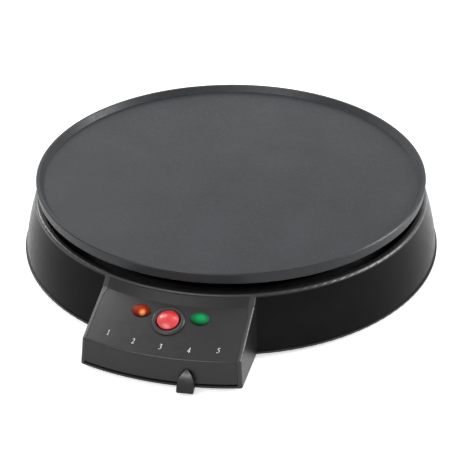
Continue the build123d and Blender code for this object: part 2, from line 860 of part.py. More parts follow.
def make_control_fascia():
    """Sloping panel with its front skirt, fitted between the cheeks."""
    rear = wall_top_radius - 8
    inner = panel_front_radius - panel_thickness
    profile = Polyline(
        (rear, panel_level(rear)),
        (panel_front_radius, panel_front_level),
        (front_radius(skirt_bottom), skirt_bottom),
        (front_radius(skirt_bottom) - panel_thickness, skirt_bottom),
        (inner, panel_level(inner) - panel_thickness),
        (rear, panel_level(rear) - panel_thickness),
        close=True,
    )
    face = make_face(profile)
    nose = face.vertices().sort_by(Axis.X)
    nose = [vertex for vertex in nose if abs(vertex.X - panel_front_radius) < 0.01]
    face = fillet(nose, box_edge_round)
    panel = revolve(Plane.XZ * face, axis=Axis.Z)
    panel &= recess_form(seam_level, panel_joint)
    # bosses for the screws from the cover, rooted halfway into the panel
    rooted = turned_polygon(
        (0, seam_level),
        (inner, seam_level),
        (inner, panel_level(inner) - panel_thickness / 2),
        (rear, panel_level(rear) - panel_thickness / 2),
        (0, panel_level(rear) - panel_thickness / 2),
    )
    for x, y in panel_boss_places():
        panel += rod(cover_screw_radius + boss_wall - 0.6, seam_level, lip_level, x, y) & rooted
    for x, y in panel_boss_places():
        panel -= rod(cover_screw_radius, seam_level - 1, seam_level + fascia_hole_depth, x, y)
    button = panel_frame(button_circle)
    panel -= button * Cylinder(bezel_tube_radius(), 40)
    for side in (-1, 1):
        frame = panel_frame(lamp_circle, side * lamp_angle)
        panel -= extrude(frame * Pos(0, 0, -20) * lens_outline(), amount=40)
    return panel


def bezel_tube_radius():
    """Outer radius of the tube that passes through the panel."""
    return button_radius + button_gap + bezel_tube_wall


def make_button_bezel():
    """Turned ring on the panel with the guide tube of the button."""
    bore = button_radius + button_gap
    outer = button_radius + button_gap + bezel_width
    tube_radius = bezel_tube_radius()
    ring = revolve(
        Plane.XZ
        * make_face(
            [
                Polyline((bore, bezel_height * 0.3), (bore, -bezel_depth), (tube_radius, -bezel_depth)),
                Polyline((tube_radius, -bezel_depth), (tube_radius, 0), (outer, 0)),
                ThreePointArc(
                    (outer, 0),
                    (outer - bezel_width * 0.12, bezel_height * 0.66),
                    (outer - bezel_width * 0.42, bezel_height),
                ),
                Polyline(
                    (outer - bezel_width * 0.42, bezel_height),
                    (bore + bezel_width * 0.3, bezel_height * 0.92),
                    (bore, bezel_height * 0.3),
                ),
            ]
        ),
        axis=Axis.Z,
    )
    return panel_frame(button_circle).location * ring


def make_power_button():
    """Domed push button with a skirt and a stem for the switch."""
    sphere = (button_radius**2 + button_dome**2) / (2 * button_dome)
    rim = button_stand
    dome_top = rim + button_dome
    outside = revolve(
        Plane.XZ
        * make_face(
            [
                Line((0, -button_skirt), (button_radius, -button_skirt)),
                Line((button_radius, -button_skirt), (button_radius, rim)),
                ThreePointArc(
                    (button_radius, rim),
                    (button_radius / 2, dome_top - sphere + sqrt(sphere**2 - button_radius**2 / 4)),
                    (0, dome_top),
                ),
                Line((0, dome_top), (0, -button_skirt)),
            ]
        ),
        axis=Axis.Z,
    )
    cap = outside - rod(button_radius - button_wall, -button_skirt, rim - button_wall)
    cap += rod(stem_radius, -bezel_depth - stem_reach, rim - button_wall / 2)
    return panel_frame(button_circle).location * cap


def switch_spade_level():
    """Middle of the switch's spades, in the lower half of its body."""
    return -bezel_depth - switch_depth * 0.7


def make_push_switch():
    """Latching switch clipped under the bezel's tube, with two spades towards the rear."""
    top = -bezel_depth
    bottom = top - switch_depth
    body = block(switch_size, switch_size, bottom, top)
    body = chamfer(body.edges().filter_by(Axis.Z), 1.0)
    body -= rod(stem_radius + stem_gap, top - stem_reach - button_travel - 2 * stem_gap, top)
    for side in (-1, 1):
        spade = Pos(side * switch_size / 4, switch_size / 2 + spade_length / 2, switch_spade_level())
        body += spade * Box(spade_thickness, spade_length, spade_width)
    return panel_frame(button_circle).location * body


def make_lamp_lens(side):
    """Eye-shaped window with a shallow dome."""
    domed = lens_outline()
    lens = extrude(Pos(0, 0, -panel_thickness) * domed, amount=panel_thickness + lamp_dome)
    curve = (lamp_length**2 / 4 + lamp_dome**2) / (2 * lamp_dome)
    lens &= Pos(0, 0, lamp_dome - curve) * Sphere(curve)
    return panel_frame(lamp_circle, side * lamp_angle).location * lens


def make_lamp_holders():
    """Sleeves under the panel that hold the neon lamps behind the lenses."""
    holders = []
    for side in (-1, 1):
        top = -panel_thickness
        body = block(
            lamp_length + 2 * holder_margin, lamp_height + 2 * holder_margin, top - holder_depth, top
        )
        body = fillet(body.edges().filter_by(Axis.Z), 2.5)
        body -= rod(neon_radius, top - holder_depth, top)
        holders.append(panel_frame(lamp_circle, side * lamp_angle).location * body)
    return group(holders)


def make_neon_lamps():
    """Small glass lamps in the holders."""
    lamps = []
    for side in (-1, 1):
        low = -panel_thickness - neon_length
        glass = rod(neon_radius, low, -panel_thickness - 0.3)
        glass = fillet(glass.edges().sort_by(Axis.Z)[-1:], neon_radius * 0.8)
        lamps.append(panel_frame(lamp_circle, side * lamp_angle).location * glass)
    return group(lamps)


# ---------------------------------------------------------------- internal leads
def lead(name, points):
    """Sleeved wire: straight runs joined by arcs as large as the runs allow."""
    spots = [Vector(*point) for point in points]
    radii = []
    for before, corner, after in zip(spots, spots[1:], spots[2:]):
        arriving = corner - before
        leaving = after - corner
        half_turn = radians(arriving.get_angle(leaving)) / 2
        radii.append(lead_tightness * min(arriving.length, leaving.length) / tan(half_turn))
    print(name, "bend radii", [round(radius, 1) for radius in radii])
    path = FilletPolyline(*spots, radius=radii)
    section = Plane(origin=spots[0], z_dir=spots[1] - spots[0]) * Circle(lead_radius)
    return sweep(section, path=path)


def block_way(index):
    """Where a lead starts inside a way of the terminal block, and where it leaves it."""
    x = index * block_hole_spacing
    level = (block_bottom + deck_bottom) / 2
    mouth = block_distance - block_width / 2
    return (x, mouth + 4, level), (x, mouth - 4, level)


def switch_spade(side):
    """End of a spade of the push switch, and a point straight behind it."""
    frame = panel_frame(button_circle)
    x = side * switch_size / 4
    level = switch_spade_level()
    end = frame.from_local_coords((x, switch_size / 2 + spade_length, level))
    behind = frame.from_local_coords((x, switch_size / 2 + spade_length + 6, level))
    return tuple(end), tuple(behind)


def make_neutral_lead():
    """From the terminal block to the left spade of the element."""
    start, leaving = block_way(-1)
    x, y, top = element_end(-1)
    level = top - spade_length / 2
    edge = spade_edge() + spade_width
    return lead("neutral_lead", [start, leaving, (x, edge + 5, level), (x, edge, level)])


def make_live_lead():
    """From the terminal block round the right side to the push switch."""
    start, leaving = block_way(1)
    end, behind = switch_spade(1)
    route = [(40, 72, 30), (52, 20, 29.5), (50, -40, 29.5), (34, -92, 29.5), (14, -126, 30)]
    return lead("live_lead", [start, leaving, *route, behind, end])


def make_switched_lead():
    """From the push switch back to the right spade of the thermostat."""
    end, behind = switch_spade(-1)
    x = terminal_spacing / 2
    level = body_bottom - spade_length * 0.65
    edge = -spade_width / 2
    route = [(-2, -112, 30), (8, -66, 29.5), (x + 1, -28, 30)]
    return lead("switched_lead", [end, behind, *route, (x, edge - 10, level), (x, edge, level)])


def make_element_lead():
    """From the left spade of the thermostat to the free wire of the fuse."""
    x = -terminal_spacing / 2
    level = body_bottom - spade_length * 0.65
    edge = spade_width / 2
    y, height, spade_top = fuse_place()
    wire_side = y - fuse_wire_radius
    finish = spade_top - 2
    route = [(-16, 36, 30), (-13, 66, 30.5)]
    return lead(
        "element_lead",
        [
            (x, edge, level),
            (x, edge + 10, level),
            *route,
            (-fuse_wire_reach, wire_side - 9, finish),
            (-fuse_wire_reach, wire_side, finish),
        ],
    )


# ---------------------------------------------------------------- temperature lever
def make_thermostat_spindle():
    """Upright shaft from the lever's hub into the thermostat."""
    return rod(spindle_radius, lever_bottom, centre_boss_bottom - 0.5)


def make_lever_arm():
    """Pressed steel arm: a hub on the spindle, a flanged channel and a flat tongue."""
    tongue_end = front_radius(lever_top) + knob_gap + socket_depth
    channel_end = wall_top_radius + box_reach * 0.62
    arm = block(lever_width, tongue_end, lever_bottom, lever_top, 0, -tongue_end / 2)
    length = channel_end - hub_radius
    flange_top = lever_top + lever_flange_height
    for side in (-1, 1):
        x = side * (lever_width - lever_thickness) / 2
        arm += block(lever_thickness, length, lever_bottom, flange_top, x, -hub_radius - length / 2)
    arm += rod(hub_radius, lever_bottom, lever_top + hub_height)
    arm -= rod(spindle_radius, BELOW, ABOVE)
    return Rot(0, 0, lever_angle) * arm


def make_temperature_lever():
    """Arch-shaped grip in front of the skirt, pushed on to the tongue of the arm."""
    half = knob_width / 2
    shoulder = knob_bottom + knob_straight
    spread = ((knob_top - shoulder) ** 2 - half**2) / (2 * half)
    arc_radius = spread + half
    quarter = (knob_top + shoulder) / 2
    reach = sqrt(arc_radius**2 - (quarter - shoulder) ** 2) - spread
    arch = make_face(
        [
            Line((-half, knob_bottom), (half, knob_bottom)),
            Line((half, knob_bottom), (half, shoulder)),
            ThreePointArc((half, shoulder), (reach, quarter), (0, knob_top)),
            ThreePointArc((0, knob_top), (-reach, quarter), (-half, shoulder)),
            Line((-half, shoulder), (-half, knob_bottom)),
        ]
    )
    arch = fillet(arch.vertices().sort_by(Axis.Y)[:2], knob_round)
    start = panel_front_radius - 5
    grip = extrude(Plane.XZ.offset(start) * arch, amount=30)
    foot_reach = front_radius(skirt_bottom) + knob_reach
    rear = turned_polygon(
        (0, BELOW),
        (front_radius(skirt_bottom) + knob_gap, BELOW),
        (front_radius(skirt_bottom) + knob_gap, skirt_bottom),
        (front_radius(knob_top + 5) + knob_gap, knob_top + 5),
        (0, knob_top + 5),
    )
    grip -= rear
    tip_reach = front_radius(knob_top) + knob_gap
    slope = Plane.YZ * make_face(
        [
            Line((-start + 10, knob_bottom - 1), (-foot_reach, knob_bottom - 1)),
            Line((-foot_reach, knob_bottom - 1), (-foot_reach, knob_bottom + 1.2)),
            ThreePointArc(
                (-foot_reach, knob_bottom + 1.2),
                (-(foot_reach + tip_reach) / 2 - 0.9, (knob_top + knob_bottom) / 2 + 0.9),
                (-tip_reach, knob_top),
            ),
            Line((-tip_reach, knob_top), (-start + 10, knob_top)),
            Line((-start + 10, knob_top), (-start + 10, knob_bottom - 1)),
        ]
    )
    grip &= extrude(slope, amount=ABOVE, both=True)
    socket_end = front_radius(lever_top) + knob_gap + socket_depth
    grip -= block(lever_width, socket_end, lever_bottom, lever_top, 0, -socket_end / 2)
    return Rot(0, 0, lever_angle) * grip


# ---------------------------------------------------------------- export
def main():
    """Build every piece and write one file for each node."""
    os.makedirs("parts", exist_ok=True)
    nodes = {
        "hotplate": make_hotplate(),
        "heating_element": make_heating_element(),
        "element_terminals": make_element_terminals(),
        "heat_shield": make_heat_shield(),
        "plate_spacers": make_plate_spacers(),
        "plate_screws": make_plate_screws(),
        "thermostat_bracket": make_thermostat_bracket(),
        "thermostat_body": make_thermostat_body(),
        "thermostat_bushing": make_thermostat_bushing(),
        "thermostat_screws": make_thermostat_screws(),
        "thermostat_terminals": make_thermostat_terminals(),
        "bimetal_blade": make_bimetal_blade(),
        "thermal_fuse": make_thermal_fuse(),
        "fuse_clip": make_fuse_clip(),
        "base_housing": make_base_housing(),
        "bottom_cover": make_bottom_cover(),
        "cover_screws": make_cover_screws(),
        "fascia_screws": make_fascia_screws(),
        "rubber_feet": make_rubber_feet(),
        "cord_bush": make_cord_bush(),
        "cord_clamp": make_cord_clamp(),
        "clamp_screws": make_clamp_screws(),
        "terminal_block": make_terminal_block(),
        "control_fascia": make_control_fascia(),
        "button_bezel": make_button_bezel(),
        "power_button": make_power_button(),
        "push_switch": make_push_switch(),
        "heating_lamp_lens": make_lamp_lens(-1),
        "ready_lamp_lens": make_lamp_lens(1),
        "lamp_holders": make_lamp_holders(),
        "neon_lamps": make_neon_lamps(),
        "neutral_lead": make_neutral_lead(),
        "live_lead": make_live_lead(),
        "switched_lead": make_switched_lead(),
        "element_lead": make_element_lead(),
        "thermostat_spindle": make_thermostat_spindle(),
        "lever_arm": make_lever_arm(),
        "temperature_lever": make_temperature_lever(),
    }
    for name, shape in nodes.items():
        export_step(Pos(0, axis_offset, 0) * shape, f"parts/{name}.step")


main()
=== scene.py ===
import bpy
import math
from mathutils import Matrix, Vector


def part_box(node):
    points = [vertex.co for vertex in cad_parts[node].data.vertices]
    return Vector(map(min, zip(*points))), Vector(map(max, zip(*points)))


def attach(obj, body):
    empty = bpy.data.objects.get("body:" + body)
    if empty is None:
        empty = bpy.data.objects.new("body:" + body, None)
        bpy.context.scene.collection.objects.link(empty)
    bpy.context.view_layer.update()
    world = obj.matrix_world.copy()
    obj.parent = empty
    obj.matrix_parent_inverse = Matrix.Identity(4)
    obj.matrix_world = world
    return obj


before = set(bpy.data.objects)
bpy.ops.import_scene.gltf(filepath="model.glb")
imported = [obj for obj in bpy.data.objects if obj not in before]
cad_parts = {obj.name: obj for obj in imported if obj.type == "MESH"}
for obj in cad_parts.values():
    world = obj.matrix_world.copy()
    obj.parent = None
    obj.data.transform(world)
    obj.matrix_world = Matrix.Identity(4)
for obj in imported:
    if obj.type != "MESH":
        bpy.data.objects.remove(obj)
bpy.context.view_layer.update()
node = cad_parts
bpy.ops.object.select_all(action="DESELECT")

# ---- Table and light -------------------------------------------------------------------------
# The crepe maker stands on a plain white table top in a white room. Cloth softboxes light it
# from behind on the left, from low on the right and from above, and a long strip from the front.
scene = bpy.context.scene
scene.view_settings.view_transform = "Standard"
plate_axis = Vector((0.0, 0.0223797, 0.0))

# The camera stands in front, a little to the right, and looks down by about 32 degrees.
tilt, turn, roll = 0.55157, math.radians(14.75), -0.00508
distance = 1.1
aim = plate_axis + Vector((0.0, 0.0, 0.003))
level = math.cos(tilt)
ahead = Vector((-level * math.sin(turn), level * math.cos(turn), -math.sin(tilt)))
right = Vector((math.cos(turn), math.sin(turn), 0.0))
up = right.cross(ahead)
eye = aim - ahead * distance
across = right * math.cos(roll) + up * math.sin(roll)
upward = up * math.cos(roll) - right * math.sin(roll)
camera = bpy.data.objects.new("camera", bpy.data.cameras.new("camera"))
scene.collection.objects.link(camera)
camera.matrix_world = Matrix(
    [(across[i], upward[i], -ahead[i], eye[i]) for i in range(3)] + [(0, 0, 0, 1)]
)
camera.data.sensor_width = 36.0
camera.data.lens = 109.995
camera.data.shift_x = -0.0116
camera.data.shift_y = 0.0164
camera.data.clip_start = 0.05
camera.data.clip_end = 20.0
scene.camera = camera


def softbox(name, place, target, width, height, power):
    """Rectangular cloth light at a place, facing a point."""
    lamp = bpy.data.lights.new(name, "AREA")
    lamp.shape = "RECTANGLE"
    lamp.size, lamp.size_y = width, height
    lamp.energy = power
    box = bpy.data.objects.new(name, lamp)
    scene.collection.objects.link(box)
    facing = (Vector(target) - Vector(place)).to_track_quat("-Z", "Y")
    box.matrix_world = Matrix.Translation(place) @ facing.to_matrix().to_4x4()


base_middle = (0.0, 0.0, 0.03)
softbox("softbox_left", (-0.95, 0.6, 0.8), base_middle, 0.45, 0.4, 8.0)
softbox("softbox_top", (-0.75, 0.45, 1.2), base_middle, 0.5, 0.3, 2.8)
softbox("softbox_right", (1.25, 0.42, 0.62), base_middle, 0.5, 0.5, 13.5)
softbox("small_top", (0.5, 0.38, 1.35), base_middle, 0.3, 0.6, 3.0)
softbox("strip_front", (-0.25, -1.0, 0.98), (0.0, -0.1, 0.03), 0.9, 0.14, 6.5)


def combine(tree, operation, *values):
    """Math node on a mix of sockets and plain numbers."""
    made = tree.nodes.new("ShaderNodeMath")
    made.operation = operation
    for slot, value in zip(made.inputs, values):
        if isinstance(value, float):
            slot.default_value = value
        else:
            tree.links.new(value, slot)
    return made.outputs[0]


def seen_directly(tree):
    """1 for what the camera sees itself, in a gloss or through glass, and 0 for light on things."""
    ray = tree.nodes.new("ShaderNodeLightPath").outputs
    seen = combine(tree, "MAXIMUM", ray["Is Camera Ray"], ray["Is Glossy Ray"])
    return combine(tree, "MAXIMUM", seen, ray["Is Transmission Ray"])


def white_light(tree, kind):
    """White Background or Emission shader, and the socket of its strength."""
    made = tree.nodes.new(kind)
    made.inputs["Color"].default_value = (1.0, 1.0, 1.0, 1.0)
    return made.outputs[0], made.inputs["Strength"]


def choose(tree, factor, first, second):
    """One of two shaders, by a factor of 0 or 1."""
    made = tree.nodes.new("ShaderNodeMixShader")
    tree.links.new(factor, made.inputs["Fac"])
    tree.links.new(first, made.inputs[1])
    tree.links.new(second, made.inputs[2])
    return made.outputs[0]


room_light, room_white = 0.4, 1.0
room = bpy.data.worlds.new("white_room")
scene.world = room
room.use_nodes = True
tree = room.node_tree
tree.nodes.clear()
on_things, strength = white_light(tree, "ShaderNodeBackground")
strength.default_value = room_light
in_view, strength = white_light(tree, "ShaderNodeBackground")
strength.default_value = room_white
room_shade = choose(tree, seen_directly(tree), on_things, in_view)
tree.links.new(room_shade, tree.nodes.new("ShaderNodeOutputWorld").inputs["Surface"])

# The table glows a little wherever it is seen, so that it is as white as the room.
table_tone = (0.8, 0.8, 0.8)
lift_in_gloss, lift_in_picture = 0.25, 0.38
bpy.ops.mesh.primitive_plane_add(size=8.0, location=(0.0, 0.0, 0.0))
table = bpy.context.object
table.name = "table_top"
white_table = bpy.data.materials.new("white_table")
white_table.use_nodes = True
tree = white_table.node_tree
tree.nodes.clear()
paint = tree.nodes.new("ShaderNodeBsdfDiffuse")
paint.inputs["Color"].default_value = (*table_tone, 1.0)
in_picture = tree.nodes.new("ShaderNodeLightPath").outputs["Is Camera Ray"]
gloss_lift = combine(tree, "MULTIPLY", seen_directly(tree), lift_in_gloss)
lift, strength = white_light(tree, "ShaderNodeEmission")
tree.links.new(combine(tree, "MULTIPLY_ADD", in_picture, lift_in_picture, gloss_lift), strength)
lit = tree.nodes.new("ShaderNodeAddShader")
tree.links.new(paint.outputs[0], lit.inputs[0])
tree.links.new(lift, lit.inputs[1])
from_below = tree.nodes.new("ShaderNodeNewGeometry").outputs["Backfacing"]
clear = tree.nodes.new("ShaderNodeBsdfTransparent")
table_shade = choose(tree, from_below, lit.outputs[0], clear.outputs[0])
tree.links.new(table_shade, tree.nodes.new("ShaderNodeOutputMaterial").inputs["Surface"])
table.data.materials.append(white_table)


# ---- Ring housing ----------------------------------------------------------------------------
# One injection moulding in black heat-resistant plastic: the flared ring, its deck and the two
# cheeks of the control box. The tool is spark-eroded, so the skin has a fine even grain.
class Finish:
    """A Principled material with its patterns laid out in millimetres on the object."""

    def __init__(self, name, tone, rough, shine, metal=0.0):
        self.material = bpy.data.materials.new(name)
        self.material.use_nodes = True
        self.tree = self.material.node_tree
        self.nodes = self.tree.nodes
        self.links = self.tree.links
        self.shader = self.nodes["Principled BSDF"]
        self.shader.inputs["Base Color"].default_value = (*tone, 1.0)
        self.shader.inputs["Roughness"].default_value = rough
        self.shader.inputs["Specular IOR Level"].default_value = shine
        self.shader.inputs["Metallic"].default_value = metal
        self.bump = None
        self.colour = None

    def place(self, stretch=(1.0, 1.0, 1.0), centre=(0.0, 0.0, 0.0)):
        """Object coordinates in millimetres from a centre, squeezed along an axis."""
        where = self.nodes.new("ShaderNodeTexCoord")
        scale = self.nodes.new("ShaderNodeMapping")
        away = tuple(-1000.0 * s * c for s, c in zip(stretch, centre))
        scale.inputs["Scale"].default_value = tuple(1000.0 * s for s in stretch)
        scale.inputs["Location"].default_value = away
        self.links.new(where.outputs["Object"], scale.inputs["Vector"])
        return scale.outputs[0]

    def split(self, place):
        """A place's three coordinates."""
        made = self.nodes.new("ShaderNodeSeparateXYZ")
        self.links.new(place, made.inputs[0])
        return made.outputs

    def length(self, place):
        """A place's distance from where its coordinates start."""
        made = self.nodes.new("ShaderNodeVectorMath")
        made.operation = "LENGTH"
        self.links.new(place, made.inputs[0])
        return made.outputs["Value"]

    def noise(self, lump, detail, place=None):
        """Cloudy pattern whose lumps are about so many millimetres across."""
        made = self.nodes.new("ShaderNodeTexNoise")
        made.inputs["Scale"].default_value = 1.0 / lump
        made.inputs["Detail"].default_value = detail
        made.inputs["Roughness"].default_value = 0.5
        self.links.new(place or self.place(), made.inputs["Vector"])
        return made.outputs["Fac"]

    def cells(self, size):
        """Pitted pattern with pits so many millimetres across."""
        made = self.nodes.new("ShaderNodeTexVoronoi")
        made.feature = "SMOOTH_F1"
        made.inputs["Scale"].default_value = 1.0 / size
        made.inputs["Smoothness"].default_value = 0.6
        self.links.new(self.place(), made.inputs["Vector"])
        return made.outputs["Distance"]

    def bands(self, direction, scale, distortion):
        """Even bands across an axis, with a slight wander."""
        made = self.nodes.new("ShaderNodeTexWave")
        made.bands_direction = direction
        made.inputs["Scale"].default_value = scale
        made.inputs["Distortion"].default_value = distortion
        self.links.new(self.place(), made.inputs["Vector"])
        return made.outputs["Fac"]

    def between(self, pattern, low, high, at=(0.3, 0.7)):
        """A pattern's range turned into a range of numbers."""
        made = self.nodes.new("ShaderNodeMapRange")
        made.inputs["From Min"].default_value, made.inputs["From Max"].default_value = at
        made.inputs["To Min"].default_value, made.inputs["To Max"].default_value = low, high
        self.links.new(pattern, made.inputs["Value"])
        return made.outputs[0]

    def combine(self, operation, *values):
        """Patterns and numbers joined by a Math node."""
        return combine(self.tree, operation, *values)

    def colours(self, pattern, first, second, at=(0.3, 0.7)):
        """Blend by a pattern of two colours, each a tone or a colour so far."""
        made = self.nodes.new("ShaderNodeMix")
        made.data_type = "RGBA"
        self.links.new(self.between(pattern, 0.0, 1.0, at), made.inputs["Factor"])
        for slot, colour in ((6, first), (7, second)):
            if isinstance(colour, tuple):
                made.inputs[slot].default_value = (*colour, 1.0)
            else:
                self.links.new(colour, made.inputs[slot])
        return made.outputs[2]

    def feed(self, pattern, socket):
        """A pattern or colour led into one of the shader's sockets."""
        self.links.new(pattern, self.shader.inputs[socket])

    def paint(self, colour):
        """Base colour, remembered so that another can be laid over it."""
        self.colour = colour
        self.feed(colour, "Base Color")

    def gloss(self, pattern, low, high):
        """Roughness that goes from low to high with a pattern."""
        self.feed(self.between(pattern, low, high), "Roughness")

    def relief(self, pattern, depth, strength):
        """Bump so many millimetres deep, on top of any bump before it."""
        made = self.nodes.new("ShaderNodeBump")
        made.inputs["Strength"].default_value = strength
        made.inputs["Distance"].default_value = depth / 1000.0
        self.links.new(pattern, made.inputs["Height"])
        if self.bump:
            self.links.new(self.bump, made.inputs["Normal"])
        self.bump = made.outputs[0]
        self.feed(self.bump, "Normal")

    def on(self, *names):
        """The finish goes on these pieces of the model."""
        for name in names:
            node[name].material_slots[0].material = self.material


def shade(tone, share):
    """Lighter or darker form of a tone."""
    return tuple(share * c for c in tone)


def moulded(name, tone, rough, shine, grain, depth):
    """Moulded plastic: clouded pigment, uneven gloss and a pitted grain of a size and depth."""
    made = Finish(name, tone, rough, shine)
    made.paint(made.colours(made.noise(14.0, 3.0), shade(tone, 0.86), shade(tone, 1.16)))
    made.gloss(made.noise(5.0, 4.0), rough - 0.04, rough + 0.05)
    made.relief(made.noise(30.0, 1.0), 0.05, 0.6)
    made.relief(made.cells(grain), depth, 0.5)
    made.relief(made.noise(grain * 0.45, 2.0), depth * 0.5, 0.4)
    return made


# The lip and the control box carry a glossy coat, and the upstand behind the panel less of it.
# Both also get a lighter base tone than the walls, which is painted light. A pair of values
# says where one finish fades into the next, in millimetres from the plate's axis or up from
# the table. The cheeks lean in by cheek_lean for each millimetre that they rise.
lip_top = 1000.0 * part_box("base_housing")[1].z
lip_starts = (lip_top - 2.6, lip_top - 1.2)
upstand_top = (lip_top - 2.0, lip_top - 1.0)
upstand_ends = (50.0, 51.5)
cheek_lean = 0.0734
cheek_face = (57.7, 58.17)
ring_front = (-140.0, -137.0)
upstand_loss = -0.6
painted_light_tone = (0.0085, 0.0085, 0.009)
all_or_none = (0.0, 1.0)
housing = moulded("housing_black", (0.0042, 0.0042, 0.0046), 0.22, 0.08, 0.6, 0.0008)
x, y, z = housing.split(housing.place(centre=plate_axis))
to_side = housing.combine("ABSOLUTE", x)
to_cheek = housing.combine("MULTIPLY_ADD", z, cheek_lean, to_side)
between_cheeks = housing.between(to_cheek, 1.0, 0.0, cheek_face)
on_box = housing.combine("MULTIPLY", between_cheeks, housing.between(y, 1.0, 0.0, ring_front))
gloss_and_painted_light = housing.combine("MAXIMUM", on_box, housing.between(z, 0.0, 1.0, lip_starts))
# Painted light: the lip's top band and the control box get a lighter base tone than the walls.
housing.paint(housing.colours(gloss_and_painted_light, housing.colour, painted_light_tone, all_or_none))
inside_cheeks = housing.between(to_side, 1.0, 0.0, upstand_ends)
upstand = housing.combine("MULTIPLY", inside_cheeks, housing.between(z, 1.0, 0.0, upstand_top))
duller = housing.combine("MULTIPLY", upstand, on_box)
housing.feed(housing.combine("MULTIPLY_ADD", duller, upstand_loss, gloss_and_painted_light), "Coat Weight")
housing.shader.inputs["Coat Roughness"].default_value = 0.4
housing.on("base_housing")

# ---- Bottom cover, feet, screws and cord inlet -----------------------------------------------
# The cover is the same black plastic with a plainer, duller face. Six pan-head screws hold it
# up into the housing, and four grey-black rubber feet are pressed into its holes. A rubber bush
# and a plastic clamp at the rear take the cord.
moulded("cover_black", (0.018, 0.018, 0.0185), 0.4, 0.4, 0.7, 0.02).on("bottom_cover")
moulded("clamp_black", (0.011, 0.011, 0.012), 0.46, 0.35, 0.5, 0.015).on("cord_clamp")


def oxide_steel(name, tone, rough):
    """Steel under a thin dark conversion coat, rubbed bare in specks."""
    made = Finish(name, tone, rough, 0.5, 0.85)
    made.paint(made.colours(made.noise(0.7, 4.0), tone, shade(tone, 2.6), (0.52, 0.74)))
    made.gloss(made.noise(0.5, 3.0), rough - 0.1, rough + 0.12)
    made.relief(made.noise(0.3, 3.0), 0.01, 0.4)
    return made


oxide_steel("screw_black_oxide", (0.035, 0.035, 0.038), 0.42).on("cover_screws", "fascia_screws")


def rubber(name, tone, grain):
    """Dull moulded rubber with a dusty bloom."""
    made = Finish(name, tone, 0.82, 0.2)
    made.paint(made.colours(made.noise(3.0, 5.0), tone, shade(tone, 1.7), (0.35, 0.8)))
    made.gloss(made.noise(1.2, 3.0), 0.74, 0.92)
    made.relief(made.noise(grain, 3.0), 0.02, 0.5)
    made.shader.inputs["Sheen Weight"].default_value = 0.12
    made.shader.inputs["Sheen Roughness"].default_value = 0.5
    return made


rubber("foot_rubber_grey", (0.022, 0.022, 0.023), 0.5).on("rubber_feet")
rubber("bush_rubber_black", (0.011, 0.011, 0.012), 0.35).on("cord_bush")

# ---- Hotplate --------------------------------------------------------------------------------
# A die-cast aluminium disc with a raised rim, sprayed on its top and skirt with a dark non-stick
# coating that carries a fine mineral fleck. Its underside stays bare, as it came from the die.
plate_corner = 1000.0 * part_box("hotplate")[1]
plate_top, plate_radius = plate_corner.z, plate_corner.x
spray_ends = (plate_top - 8.3, plate_top - 7.9)
skirt_face = (plate_radius - 1.0, plate_radius - 0.7)
skirt_top = (plate_top - 1.0, plate_top - 0.6)
skirt_tone = (0.026, 0.027, 0.03)
fleck_tone, mist_tone = (0.115, 0.115, 0.118), (0.052, 0.053, 0.055)
coating = Finish("nonstick_coating", (0.026, 0.027, 0.029), 0.36, 0.28)
film = coating.colours(coating.noise(40.0, 3.0), (0.019, 0.0205, 0.0235), (0.027, 0.029, 0.033))
film = coating.colours(coating.noise(1.6, 5.0), film, mist_tone, (0.6, 0.74))
film = coating.colours(coating.cells(0.9), fleck_tone, film, (0.09, 0.16))
casting = coating.colours(coating.noise(2.2, 5.0), (0.33, 0.33, 0.34), (0.52, 0.52, 0.53))
height = coating.split(coating.place(centre=plate_axis))["Z"]
ragged = coating.combine("ADD", height, coating.between(coating.noise(6.0, 4.0), -0.5, 0.5))
sprayed = coating.between(ragged, 0.0, 1.0, spray_ends)
coated = coating.colours(sprayed, casting, film, all_or_none)
from_axis = coating.length(coating.place((1.0, 1.0, 0.0), plate_axis))
below_rim = coating.between(height, 1.0, 0.0, skirt_top)
on_skirt = coating.combine("MULTIPLY", coating.between(from_axis, 0.0, 1.0, skirt_face), below_rim)
coating.paint(coating.colours(on_skirt, coated, skirt_tone, all_or_none))
coating.feed(coating.between(sprayed, 1.0, 0.0, all_or_none), "Metallic")
coating.gloss(coating.noise(3.0, 4.0), 0.3, 0.42)
coating.relief(coating.noise(18.0, 2.0), 0.06, 0.5)
coating.relief(coating.noise(1.1, 4.0), 0.03, 0.45)
coating.relief(coating.noise(0.35, 2.0), 0.01, 0.4)
coating.on("hotplate")

# ---- Heating element and its terminals -------------------------------------------------------
# A tubular element with a black oxidised steel sheath is rolled into a groove under the plate.
# Both ends carry flat nickel-plated push-on terminals.
sheath = Finish("oxidised_sheath", (0.06, 0.058, 0.056), 0.5, 0.5, 0.75)
sheath.paint(sheath.colours(sheath.noise(4.0, 5.0), (0.035, 0.034, 0.036), (0.13, 0.11, 0.095)))
sheath.gloss(sheath.noise(2.0, 3.0), 0.42, 0.66)
sheath.relief(sheath.noise(0.6, 4.0), 0.03, 0.5)
sheath.on("heating_element")


def sheet_metal(name, tone, rough, rolling):
    """Rolled strip: streaks along the rolling direction and a few dull clouds."""
    made = Finish(name, tone, rough, 0.5, 1.0)
    streaks = made.noise(0.25, 3.0, made.place(stretch=rolling))
    made.paint(made.colours(made.noise(9.0, 4.0), shade(tone, 0.84), tone))
    made.gloss(streaks, rough - 0.06, rough + 0.1)
    made.relief(streaks, 0.006, 0.5)
    made.relief(made.noise(6.0, 2.0), 0.04, 0.4)
    return made


nickel_strip = sheet_metal("nickel_strip", (0.66, 0.64, 0.6), 0.28, (1.0, 0.06, 1.0))
nickel_strip.on("element_terminals", "thermostat_terminals")

